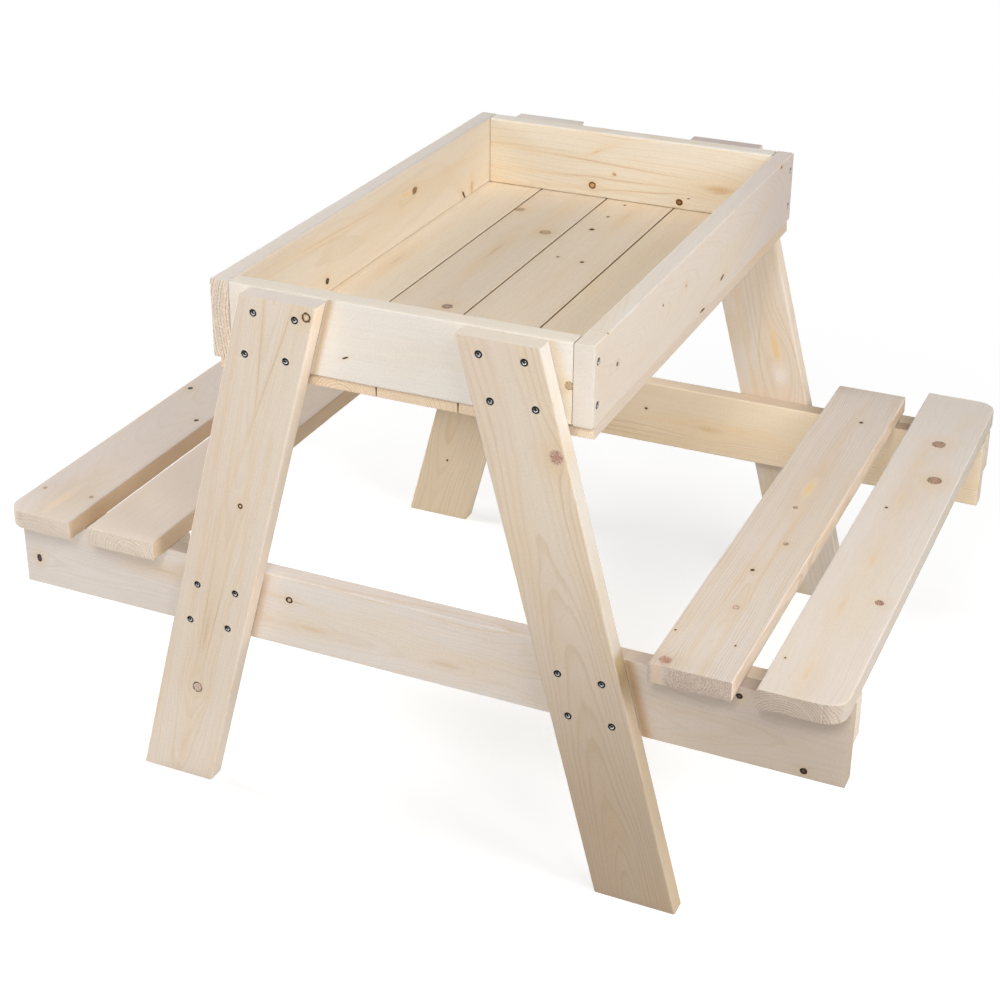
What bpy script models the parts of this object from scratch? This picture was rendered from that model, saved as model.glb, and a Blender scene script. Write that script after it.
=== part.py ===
"""Child's picnic table with a sandbox for a top, in untreated pine.

Metres, +Z up. X runs from seat to seat, Y along the sandbox and the seat boards.
The origin is on the ground under the middle of the table's outline. The outer seat
boards reach further to the back, so the sandbox's own middle lies in front of it.
"""
import bpy
import bmesh
from math import radians
from mathutils import Matrix, Vector

# Stock that the table is sawn from
BOARD_WIDTH = 0.080
BOARD_THICKNESS = 0.020
BOARD_ROUNDING = 0.003
ROUNDING_STEPS = 2
CLEARANCE = 0.0003

# Sandbox: two long sides with the two ends between them
BOX_WIDTH = 0.390
BOX_LENGTH = 0.616
RIM_HEIGHT = 0.5655

# Sandbox floor: boards along Y, laid under the sides
FLOOR_THICKNESS = 0.012
FLOOR_BOARD_WIDTH = 0.084
FLOOR_ROUNDING = 0.002
FLOOR_END_INSET = 0.005
FLOOR_LEFT_INSET = 0.004
FLOOR_RIGHT_INSET = 0.0005
FLOOR_BOARDS = 5

# Legs: splayed boards outside the sandbox ends and the rails
LEG_TOP_DROP = 0.002
LEG_RIM_CENTRE = 0.110
LEG_FOOT_CENTRE = 0.259

# Rails across the table, and the seats that lie on them
RAIL_LENGTH = 0.893
SEAT_UNDERSIDE = 0.258
SEAT_INNER_EDGE = 0.264
SEAT_GAP = 0.022
SEAT_LENGTH = 0.669
SEAT_OUTER_EXTRA = 0.024
SEAT_CORNER_RADIUS = 0.020
SEAT_CORNER_STEPS = 8

# Cleats: battens beside the rails, under the seat boards
CLEAT_HEIGHT = 0.045

# Countersunk wood screws
SCREW_LENGTH = 0.035
SCREW_SHANK = 0.0036
SCREW_HEAD = 0.0072
SCREW_HEAD_HEIGHT = 0.0024
SCREW_HEAD_LAND = 0.0003
SCREW_POINT = 0.004
SCREW_RECESS = 0.0036
SCREW_RECESS_FLOOR = 0.0020
SCREW_RECESS_DEPTH = 0.0014
SCREW_SINK = 0.0002
SCREW_SIDES = 10
SCREW_SPACING = 0.044
SCREW_ROW_SPACING = 0.0435
BOX_SCREW_DROP = 0.018
RAIL_SCREW_DROP = 0.0195
CUTTER_OVERRUN = 0.002

# Colours and finish of the wood and of the zinc-plated screws
PINE_FACE = (0.78, 0.66, 0.53)
PINE_INSIDE = (0.76, 0.61, 0.44)
PINE_SEAT = (0.77, 0.65, 0.54)
PINE_END = (0.72, 0.58, 0.45)
ZINC = (0.42, 0.44, 0.45)
WOOD_ROUGHNESS = 0.62
ZINC_ROUGHNESS = 0.32

# Sizes and places that follow from those above
HALF_BOX_WIDTH = BOX_WIDTH / 2
HALF_BOX_LENGTH = BOX_LENGTH / 2
BOX_UNDERSIDE = RIM_HEIGHT - BOARD_WIDTH
LEG_HEIGHT = RIM_HEIGHT - LEG_TOP_DROP
LEG_SLOPE = (LEG_FOOT_CENTRE - LEG_RIM_CENTRE) / RIM_HEIGHT
LEG_SAWN_WIDTH = BOARD_WIDTH * (1 + LEG_SLOPE ** 2) ** 0.5
RAIL_TOP = SEAT_UNDERSIDE - CLEARANCE
SEAT_OUTER_START = SEAT_INNER_EDGE + BOARD_WIDTH + SEAT_GAP
SEAT_OUTER_EDGE = SEAT_OUTER_START + BOARD_WIDTH
CLEAT_LENGTH = RAIL_LENGTH / 2 - SEAT_INNER_EDGE
LEG_FACE = HALF_BOX_LENGTH + CLEARANCE + BOARD_THICKNESS

SANDBOX_MIDDLE_Y = -SEAT_OUTER_EXTRA / 2

SIDES = (("left", -1), ("right", 1))
FACINGS = (("front", -1), ("back", 1))


def clear_scene():
    for old in list(bpy.data.objects):
        bpy.data.objects.remove(old, do_unlink=True)


def new_collection(name):
    made = bpy.data.collections.new(name)
    bpy.context.scene.collection.children.link(made)
    return made


def surface(name, colour, roughness, metallic=0.0):
    """A Principled BSDF with one colour, roughness and metallic value."""
    made = bpy.data.materials.new(name)
    made.use_nodes = True
    shader = made.node_tree.nodes["Principled BSDF"]
    shader.inputs["Base Color"].default_value = (*colour, 1.0)
    shader.inputs["Roughness"].default_value = roughness
    shader.inputs["Metallic"].default_value = metallic
    return made


def pine(name, colour):
    return surface(name + "_pine", colour, WOOD_ROUGHNESS)


def make_table_frame():
    """The empty that every piece hangs on: the ground under the middle of the sandbox."""
    made = bpy.data.objects.new("table_frame", None)
    made.location = (0.0, SANDBOX_MIDDLE_Y, 0.0)
    PARTS.objects.link(made)
    return made


def add_object(name, mesh, collection, material=None):
    made = bpy.data.objects.new(name, mesh)
    made.parent = TABLE
    collection.objects.link(made)
    if material:
        mesh.materials.append(material)
    return made


def board_mesh(name, size, length_axis, rounding):
    """A board whose four long edges are rounded and whose ends are sawn square."""
    work = bmesh.new()
    bmesh.ops.create_cube(work, size=1.0)
    bmesh.ops.scale(work, vec=Vector(size), verts=work.verts)
    along = [edge for edge in work.edges
             if abs((edge.verts[0].co - edge.verts[1].co).normalized()[length_axis]) > 0.5]
    bmesh.ops.bevel(work, geom=along, offset=rounding, offset_type="OFFSET",
                    segments=ROUNDING_STEPS, profile=0.5, affect="EDGES", clamp_overlap=True)
    mesh = bpy.data.meshes.new(name)
    work.to_mesh(mesh)
    work.free()
    return mesh


def add_board(name, size, centre, length_axis, material, rounding=BOARD_ROUNDING):
    mesh = board_mesh(name, size, length_axis, rounding)
    made = add_object(name, mesh, PARTS, material)
    made.location = centre
    return made


def subtract(piece, cutter):
    cut = piece.modifiers.new("Cut " + cutter.name, "BOOLEAN")
    cut.operation = "DIFFERENCE"
    cut.solver = "EXACT"
    cut.object = cutter


def hide_cutter(cutter):
    cutter.hide_render = True
    cutter.display_type = "WIRE"


def turned_mesh(name, profile, sides):
    """A closed solid turned about Z from (radius, height) points, top to bottom."""
    outline = bpy.data.meshes.new(name + "_profile")
    points = [(radius, 0.0, height) for radius, height in profile]
    outline.from_pydata(points, [(i, i + 1) for i in range(len(points) - 1)], [])
    holder = bpy.data.objects.new(name + "_holder", outline)
    CUTTERS.objects.link(holder)
    screw = holder.modifiers.new("Turn", "SCREW")
    screw.axis = "Z"
    screw.steps = sides
    screw.render_steps = sides
    screw.use_merge_vertices = True
    screw.merge_threshold = 0.00001
    bpy.context.view_layer.update()
    seen = holder.evaluated_get(bpy.context.evaluated_depsgraph_get())
    mesh = bpy.data.meshes.new_from_object(seen)
    mesh.name = name
    bpy.data.objects.remove(holder, do_unlink=True)
    bpy.data.meshes.remove(outline)
    return mesh


def screw_profile():
    """Countersunk head with a recess, shank and point; the head's top is at height 0."""
    head, shank = SCREW_HEAD / 2, SCREW_SHANK / 2
    return [(0.0, -SCREW_RECESS_DEPTH),
            (SCREW_RECESS_FLOOR / 2, -SCREW_RECESS_DEPTH),
            (SCREW_RECESS / 2, 0.0),
            (head, 0.0),
            (head, -SCREW_HEAD_LAND),
            (shank, -SCREW_HEAD_HEIGHT),
            (shank, SCREW_POINT - SCREW_LENGTH),
            (0.0, -SCREW_LENGTH)]


def screw_hole_profile():
    """The screw's outside grown by the clearance, open past the board's face."""
    head, shank = SCREW_HEAD / 2 + CLEARANCE, SCREW_SHANK / 2 + CLEARANCE
    return [(0.0, CUTTER_OVERRUN),
            (head, CUTTER_OVERRUN),
            (head, -SCREW_HEAD_LAND),
            (shank, -SCREW_HEAD_HEIGHT - CLEARANCE),
            (shank, -SCREW_LENGTH + SCREW_POINT - CLEARANCE),
            (0.0, -SCREW_LENGTH - 2 * CLEARANCE)]


def make_box_sides():
    for side, sign in SIDES:
        centre = (sign * (HALF_BOX_WIDTH - BOARD_THICKNESS / 2), 0.0, RIM_HEIGHT - BOARD_WIDTH / 2)
        size = (BOARD_THICKNESS, BOX_LENGTH, BOARD_WIDTH)
        name = "box_side_" + side
        add_board(name, size, centre, 1, pine(name, PINE_FACE))


def make_box_ends():
    """The two ends fit between the long sides; their outer faces are flush with the sides' ends."""
    length = BOX_WIDTH - 2 * (BOARD_THICKNESS + CLEARANCE)
    made = {}
    for facing, sign in FACINGS:
        centre = (0.0, sign * (HALF_BOX_LENGTH - BOARD_THICKNESS / 2), RIM_HEIGHT - BOARD_WIDTH / 2)
        name = "box_end_" + facing
        made[facing] = add_board(name, (length, BOARD_THICKNESS, BOARD_WIDTH), centre, 0,
                                 pine(name, PINE_INSIDE))
    return made


def make_floor():
    """Full boards from the left, and a narrower last one that fills up to the right."""
    first_edge = -HALF_BOX_WIDTH + FLOOR_LEFT_INSET
    last_edge = HALF_BOX_WIDTH - FLOOR_RIGHT_INSET
    length = BOX_LENGTH - 2 * FLOOR_END_INSET
    height = BOX_UNDERSIDE - CLEARANCE - FLOOR_THICKNESS / 2
    for number in range(FLOOR_BOARDS):
        left = first_edge + number * FLOOR_BOARD_WIDTH
        right = last_edge if number == FLOOR_BOARDS - 1 else left + FLOOR_BOARD_WIDTH - CLEARANCE
        name = "floor_board_" + str(number + 1)
        add_board(name, (right - left, length, FLOOR_THICKNESS), ((left + right) / 2, 0.0, height),
                  1, pine(name, PINE_INSIDE), FLOOR_ROUNDING)


def leg_centre(height):
    """Distance of a leg's centre line from the table's middle at a height."""
    return LEG_RIM_CENTRE + LEG_SLOPE * (RIM_HEIGHT - height)


def make_legs():
    """Each leg is a board leaned over by a shear, so both its ends stay horizontal."""
    made = {}
    for facing, front in FACINGS:
        for side, sign in SIDES:
            name = "leg_" + facing + "_" + side
            mesh = board_mesh(name, (LEG_SAWN_WIDTH, BOARD_THICKNESS, LEG_HEIGHT), 2, BOARD_ROUNDING)
            lean = Matrix.Identity(4)
            lean[0][2] = -sign * LEG_SLOPE
            mesh.transform(lean)
            leg = add_object(name, mesh, PARTS, pine(name, PINE_FACE))
            leg.location = (sign * leg_centre(LEG_HEIGHT / 2),
                            front * (LEG_FACE - BOARD_THICKNESS / 2), LEG_HEIGHT / 2)
            made[facing, side] = leg
    return made


def make_rails():
    made = {}
    for facing, front in FACINGS:
        centre = (0.0, front * (HALF_BOX_LENGTH - BOARD_THICKNESS / 2), RAIL_TOP - BOARD_WIDTH / 2)
        name = "rail_" + facing
        made[facing] = add_board(name, (RAIL_LENGTH, BOARD_THICKNESS, BOARD_WIDTH), centre, 0,
                                 pine(name, PINE_FACE))
    return made


def make_cleats():
    """Both rails carry their cleats on the face that looks to the back."""
    for facing, front in FACINGS:
        rail_back_face = front * (HALF_BOX_LENGTH - BOARD_THICKNESS / 2) + BOARD_THICKNESS / 2
        for side, sign in SIDES:
            centre = (sign * (SEAT_INNER_EDGE + CLEAT_LENGTH / 2),
                      rail_back_face + CLEARANCE + BOARD_THICKNESS / 2,
                      RAIL_TOP - CLEAT_HEIGHT / 2)
            name = "cleat_" + facing + "_" + side
            add_board(name, (CLEAT_LENGTH, BOARD_THICKNESS, CLEAT_HEIGHT), centre, 0,
                      pine(name, PINE_END))


def round_outer_corners(board, sign, length):
    """Keep only what lies inside a plan outline with two round corners on the outer side."""
    depth = BOARD_THICKNESS + 2 * CUTTER_OVERRUN
    width = BOARD_WIDTH + CUTTER_OVERRUN
    work = bmesh.new()
    bmesh.ops.create_cube(work, size=1.0)
    bmesh.ops.scale(work, vec=Vector((width, length, depth)), verts=work.verts)
    outer = [edge for edge in work.edges
             if all(vert.co.x * sign > 0 for vert in edge.verts)
             and abs(edge.verts[0].co.z - edge.verts[1].co.z) > depth / 2]
    bmesh.ops.bevel(work, geom=outer, offset=SEAT_CORNER_RADIUS, offset_type="OFFSET",
                    segments=SEAT_CORNER_STEPS, profile=0.5, affect="EDGES", clamp_overlap=True)
    mesh = bpy.data.meshes.new(board.name + "_outline")
    work.to_mesh(mesh)
    work.free()
    outline = add_object(board.name + "_outline", mesh, CUTTERS)
    outline.location = board.location - Vector((sign * CUTTER_OVERRUN / 2, 0.0, 0.0))
    hide_cutter(outline)
    keep = board.modifiers.new("Round corners", "BOOLEAN")
    keep.operation = "INTERSECT"
    keep.solver = "EXACT"
    keep.object = outline


def make_seats():
    """Two boards a side; the outer one has round outer corners and reaches further back."""
    height = SEAT_UNDERSIDE + BOARD_THICKNESS / 2
    outer_length = SEAT_LENGTH + SEAT_OUTER_EXTRA
    for side, sign in SIDES:
        name = "seat_" + side + "_inner"
        add_board(name, (BOARD_WIDTH, SEAT_LENGTH, BOARD_THICKNESS),
                  (sign * (SEAT_INNER_EDGE + BOARD_WIDTH / 2), 0.0, height), 1, pine(name, PINE_SEAT))
        name = "seat_" + side + "_outer"
        # A little longer than its outline, so that the outline alone trims the ends
        outer = add_board(name, (BOARD_WIDTH, outer_length + CUTTER_OVERRUN, BOARD_THICKNESS),
                          (sign * (SEAT_OUTER_START + BOARD_WIDTH / 2), SEAT_OUTER_EXTRA / 2, height),
                          1, pine(name, PINE_SEAT))
        round_outer_corners(outer, sign, outer_length)


def screw_places(top_row):
    """Two rows of two, stepped sideways so that they follow the leg's lean."""
    places = []
    for height in (top_row, top_row - SCREW_ROW_SPACING):
        for offset in (-SCREW_SPACING / 2, SCREW_SPACING / 2):
            places.append((leg_centre(height) + offset, height))
    return places


def make_screws(legs, ends, rails):
    """Four screws through each leg into the sandbox end, and four into the rail."""
    screw_mesh = turned_mesh("wood_screw", screw_profile(), SCREW_SIDES)
    screw_mesh.shade_smooth()
    screw_mesh.set_sharp_from_angle(angle=radians(35))
    hole_mesh = turned_mesh("screw_hole", screw_hole_profile(), SCREW_SIDES)
    zinc = surface("zinc_screws", ZINC, ZINC_ROUGHNESS, 1.0)
    screw_mesh.materials.append(zinc)
    rows = (("box", RIM_HEIGHT - BOX_SCREW_DROP, ends), ("rail", RAIL_TOP - RAIL_SCREW_DROP, rails))
    for (facing, side), leg in legs.items():
        front = dict(FACINGS)[facing]
        sign = dict(SIDES)[side]
        for joint, top_row, held in rows:
            for number, (across, height) in enumerate(screw_places(top_row)):
                name = leg.name + "_" + joint + "_screw_" + str(number + 1)
                turn = (radians(90) * -front, 0.0, 0.0)
                place = (sign * across, front * (LEG_FACE - SCREW_SINK), height)
                screw = add_object(name, screw_mesh, PARTS)
                screw.location = place
                screw.rotation_euler = turn
                hole = add_object(name + "_hole", hole_mesh, CUTTERS)
                hole.location = place
                hole.rotation_euler = turn
                hide_cutter(hole)
                subtract(leg, hole)
                subtract(held[facing], hole)


clear_scene()
PARTS = new_collection("picnic_table_with_sandbox")
CUTTERS = new_collection("cutters")
TABLE = make_table_frame()
make_box_sides()
box_ends = make_box_ends()
make_floor()
leg_boards = make_legs()
rail_boards = make_rails()
make_cleats()
make_seats()
make_screws(leg_boards, box_ends, rail_boards)
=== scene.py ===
# %% [markdown]
# A child's picnic table with a sandbox for a top, in untreated pine.
#
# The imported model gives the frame: 23 boards and 32 screws at their real size and place.
# This lesson dresses it. Every board is worked out again as a finer surface with soft edges and
# drilled holes, and gets pine that is grown inside it rather than painted on. The screws get
# their cross recess and thread.

# %% Load the frame
from math import cos, pi, radians, sin

import bpy
import numpy as np
from mathutils import Matrix, Quaternion, Vector


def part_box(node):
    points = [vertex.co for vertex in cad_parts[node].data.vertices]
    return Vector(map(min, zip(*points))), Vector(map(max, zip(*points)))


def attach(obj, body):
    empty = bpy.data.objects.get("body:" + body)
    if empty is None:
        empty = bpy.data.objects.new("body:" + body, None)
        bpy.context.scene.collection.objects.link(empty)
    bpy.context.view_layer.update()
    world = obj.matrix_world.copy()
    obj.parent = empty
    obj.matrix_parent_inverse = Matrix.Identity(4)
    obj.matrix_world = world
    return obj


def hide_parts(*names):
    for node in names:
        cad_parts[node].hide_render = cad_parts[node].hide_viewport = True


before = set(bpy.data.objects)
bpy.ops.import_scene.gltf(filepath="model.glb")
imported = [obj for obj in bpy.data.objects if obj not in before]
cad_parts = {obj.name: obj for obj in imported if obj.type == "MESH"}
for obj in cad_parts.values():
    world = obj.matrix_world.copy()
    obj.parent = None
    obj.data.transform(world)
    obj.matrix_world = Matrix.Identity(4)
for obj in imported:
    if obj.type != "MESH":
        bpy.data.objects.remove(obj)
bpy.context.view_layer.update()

BODY = "root"

# %% [markdown]
# The camera stands where the photographer stood: a little to the right of the table's front, well
# above it, with a short telephoto lens. It aims at a point inside the legs. A small downward
# shift keeps the table centred, as the photograph's own framing does.

# %% The camera
AIM = Vector((-0.006, -0.070, 0.394))
CAMERA_DISTANCE = 2.0
CAMERA_AZIMUTH = radians(23.93)
CAMERA_ELEVATION = radians(24.18)
CAMERA_ROLL = radians(0.37)
CAMERA_LENS = 68.5
CAMERA_SHIFT = -0.12

camera = bpy.data.objects.new("camera", bpy.data.cameras.new("camera"))
bpy.context.scene.collection.objects.link(camera)
bpy.context.scene.camera = camera
towards = Vector((-sin(CAMERA_AZIMUTH) * cos(CAMERA_ELEVATION),
                  cos(CAMERA_AZIMUTH) * cos(CAMERA_ELEVATION),
                  -sin(CAMERA_ELEVATION)))
camera.location = AIM - CAMERA_DISTANCE * towards
camera.rotation_mode = "QUATERNION"
camera.rotation_quaternion = towards.to_track_quat("-Z", "Y") @ Quaternion((0, 0, 1), CAMERA_ROLL)
camera.data.lens = CAMERA_LENS
camera.data.sensor_width = 36.0
camera.data.shift_y = CAMERA_SHIFT
print("Camera at", tuple(round(value, 3) for value in camera.location))

# %% [markdown]
# Materials are node trees, and a tree written call by call gets long. A small helper class keeps
# it readable: each method adds one node and returns its output, and any value may be a plain
# number, a colour or another node's output.


# %% A helper that writes node trees
SOCKETS = {"number": "NodeSocketFloat", "vector": "NodeSocketVector", "colour": "NodeSocketColor"}


def opaque(colour):
    return (*colour, 1.0)


class Graph:
    """Adds nodes to one tree; a value is a number, a tuple or another node's socket."""

    def __init__(self, tree):
        self.tree = tree

    def feed(self, socket, value):
        if isinstance(value, bpy.types.NodeSocket):
            self.tree.links.new(value, socket)
        else:
            socket.default_value = value

    def fill(self, sockets, values):
        for place, value in values.items():
            self.feed(sockets[place], value)

    def node(self, kind, values=None, **settings):
        made = self.tree.nodes.new(kind)
        for name, value in settings.items():
            setattr(made, name, value)
        self.fill(made.inputs, values or {})
        return made

    def math(self, operation, *values, clamp=False):
        made = self.node("ShaderNodeMath", operation=operation, use_clamp=clamp)
        self.fill(made.inputs, dict(enumerate(values)))
        return made.outputs[0]

    def plus(self, first, second):
        return self.math("ADD", first, second)

    def minus(self, first, second):
        return self.math("SUBTRACT", first, second)

    def times(self, first, second):
        return self.math("MULTIPLY", first, second)

    def over(self, first, second):
        return self.math("DIVIDE", first, second)

    def larger(self, first, second):
        return self.math("MAXIMUM", first, second)

    def line(self, value, slope, start, clamp=False):
        """value x slope + start."""
        return self.math("MULTIPLY_ADD", value, slope, start, clamp=clamp)

    def vector(self, operation, *values):
        made = self.node("ShaderNodeVectorMath", operation=operation)
        places = (0, "Scale" if operation == "SCALE" else 1)
        self.fill(made.inputs, dict(zip(places, values)))
        return made.outputs["Value" if operation in ("LENGTH", "DOT_PRODUCT") else "Vector"]

    def axes(self, vector):
        made = self.node("ShaderNodeSeparateXYZ", {0: vector})
        return made.outputs[0], made.outputs[1], made.outputs[2]

    def join(self, x, y, z):
        return self.node("ShaderNodeCombineXYZ", {0: x, 1: y, 2: z}).outputs[0]

    def smooth(self, value, low, high, start=0.0, end=1.0):
        """start below low, end above high, and an even S curve between them."""
        made = self.node("ShaderNodeMapRange", {0: value, 1: low, 2: high, 3: start, 4: end},
                         interpolation_type="SMOOTHSTEP")
        return made.outputs[0]

    def bell(self, value):
        """exp(-value squared): 1 at zero, and dying away on both sides."""
        return self.math("EXPONENT", self.times(self.math("POWER", value, 2.0), -1.0))

    def mix(self, factor, first, second, blend="MIX"):
        made = self.node("ShaderNodeMix", data_type="RGBA", blend_type=blend)
        self.fill(made.inputs, {0: factor, 6: first, 7: second})
        return made.outputs[2]

    def shaded(self, colour, amount, shade):
        """The colour, turned by the amount into the colour times the shade."""
        return self.mix(amount, colour, self.mix(1.0, colour, opaque(shade), "MULTIPLY"))

    def noise(self, vector, stretch, detail=2.0, output=0):
        """Noise in cells of about 1 / stretch metres along each axis; output 1 is a colour."""
        grown = self.vector("MULTIPLY", vector, stretch)
        made = self.node("ShaderNodeTexNoise", {"Vector": grown, "Scale": 1.0, "Detail": detail})
        return made.outputs[output]

    def wavering(self, number, detail):
        """Noise of a single number, with cells of 1."""
        return self.node("ShaderNodeTexNoise", {"W": number, "Scale": 1.0, "Detail": detail},
                         noise_dimensions="1D").outputs[0]

    def group(self, tree, values):
        made = self.node("ShaderNodeGroup", values, node_tree=tree)
        return made.outputs


def new_material(name):
    """A material, a Graph on its tree, and its shader node."""
    made = bpy.data.materials.new(name)
    made.use_nodes = True
    return made, Graph(made.node_tree), made.node_tree.nodes["Principled BSDF"]


def new_group(name, takes, gives):
    """A node group; takes and gives list its sockets, and both ends and a Graph come back."""
    tree = bpy.data.node_groups.new(name, "ShaderNodeTree")
    for direction, kinds in (("INPUT", takes), ("OUTPUT", gives)):
        for kind, labels in kinds.items():
            for label in labels.split(", "):
                tree.interface.new_socket(name=label, in_out=direction, socket_type=SOCKETS[kind])
    graph = Graph(tree)
    return tree, graph, graph.node("NodeGroupInput").outputs, graph.node("NodeGroupOutput").inputs


print("Node helper ready")

# %% [markdown]
# A knot is a branch that the saw cut through. The growth rings flow round it, it is brown or
# pink with rings of its own, and an old dead branch keeps a dark rim. One node group makes one
# knot. A board with several knots has several copies of it in a row, and each hands the bent
# position on, so that the rings drawn afterwards already know about every knot.


# %% One knot
FLOW_LENGTH = 4.2
FLOW_WIDTH = 2.1
FLOW_PULL = 0.72
FLOW_PUSH = 0.55
RAGGED_EDGE = 0.50
EDGE_END = 1.12
RIM_FADE = 0.12
RIPPLES = 17.0
HALO_REACH = 0.42
PALE_CHIP = (1.55, 1.60, 1.70, 1.0)


def make_knot_group():
    """u, v and w run along, across and into the board, from the knot's middle.

    distance = length of (u / stretch, v - tilt u, w / depth) in knot radii, a little ragged. A
    branch has a great depth, so it is a column through the board, and a pin knot is only a bead.
    The colour goes from the heart through the body to the rim, and a noise of the direction alone
    splits it with radial cracks. Soft is the share of the radius over which it fades out.
    The position is pulled towards the knot by a bell of that distance, so rings part round it.
    """
    passed_on = {"vector": "Board", "number": "Push, Cover, Warmth", "colour": "Paint"}
    takes = {"vector": "Board, Middle", "colour": "Paint, Body, Rim, Heart",
             "number": "Push, Cover, Warmth, Radius, Tilt, Stretch, Depth, Rim width, Cracks, "
                       "Soft, Strength"}
    tree, g, taken, given = new_group("knot", takes, passed_on)
    along, across, deep = g.axes(g.vector("SUBTRACT", taken["Board"], taken["Middle"]))
    across = g.minus(across, g.times(along, taken["Tilt"]))
    deep = g.over(deep, taken["Depth"])
    flow = g.bell(g.vector("LENGTH", g.join(
        g.over(along, g.times(taken["Radius"], FLOW_LENGTH)),
        g.over(across, g.times(taken["Radius"], FLOW_WIDTH)),
        g.over(deep, taken["Radius"]))))
    pull = g.times(g.times(across, flow), -FLOW_PULL)
    push = g.minus(taken["Push"], g.times(flow, g.times(taken["Radius"], FLOW_PUSH)))
    ragged = g.minus(g.noise(taken["Board"], (520, 520, 160)), 0.5)
    spot = g.join(g.over(along, taken["Stretch"]), across, deep)
    plain = g.over(g.vector("LENGTH", spot), taken["Radius"])
    distance = g.plus(plain, g.times(ragged, RAGGED_EDGE))
    edge = g.minus(1.0, taken["Soft"])
    mask = g.times(g.smooth(distance, edge, EDGE_END, 1.0, 0.0), taken["Strength"])
    spokes = g.noise(g.vector("ADD", g.vector("NORMALIZE", spot), taken["Middle"]),
                     (3.4, 3.4, 3.4), 3.0)
    mottle = g.noise(taken["Board"], (700.0, 1000.0, 1000.0))
    split = g.times(g.smooth(spokes, 0.50, 0.58), g.smooth(distance, 0.0, 0.5))
    split = g.larger(split, g.smooth(mottle, 0.53, 0.61))
    chips = g.times(g.smooth(mottle, 0.47, 0.39), taken["Cracks"])
    ripple = g.smooth(g.math("SINE", g.times(distance, RIPPLES)), 0.0, 1.0, 0.0, 0.4)
    split = g.times(g.larger(split, ripple), taken["Cracks"])
    body = g.mix(chips, taken["Body"], g.mix(1.0, taken["Body"], PALE_CHIP, "MULTIPLY"))
    body = g.mix(split, body, taken["Rim"])
    inner = g.mix(g.smooth(plain, 0.10, 0.60, 1.0, 0.0), body, taken["Heart"])
    inside = g.minus(1.0, taken["Rim width"])
    rim = g.smooth(distance, g.minus(inside, RIM_FADE), inside)
    halo = g.times(g.bell(g.times(plain, HALO_REACH)), taken["Strength"])
    g.fill(given, {"Board": g.vector("ADD", taken["Board"], g.join(0.0, pull, 0.0)),
                   "Push": push,
                   "Cover": g.larger(taken["Cover"], mask),
                   "Paint": g.mix(mask, taken["Paint"], g.mix(rim, inner, taken["Rim"])),
                   "Warmth": g.larger(taken["Warmth"], halo)})
    return tree


KNOT = make_knot_group()
THROUGH = 1000.0


def kind(body, rim, heart, stretch=1.1, depth=THROUGH, rim_width=0.12, cracks=0.5, soft=0.08,
         strength=1.0):
    """What one kind of knot or streak looks like, by the knot group's own socket names."""
    return {"Body": opaque(body), "Rim": opaque(rim), "Heart": opaque(heart), "Stretch": stretch,
            "Depth": depth, "Rim width": rim_width, "Cracks": cracks, "Soft": soft,
            "Strength": strength}


def streak(colour, stretch, strength, depth=THROUGH):
    """A streak or a patch of one colour that fades out softly."""
    return kind(colour, colour, colour, stretch, depth, 0.10, 0.2, 0.9, strength)


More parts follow.
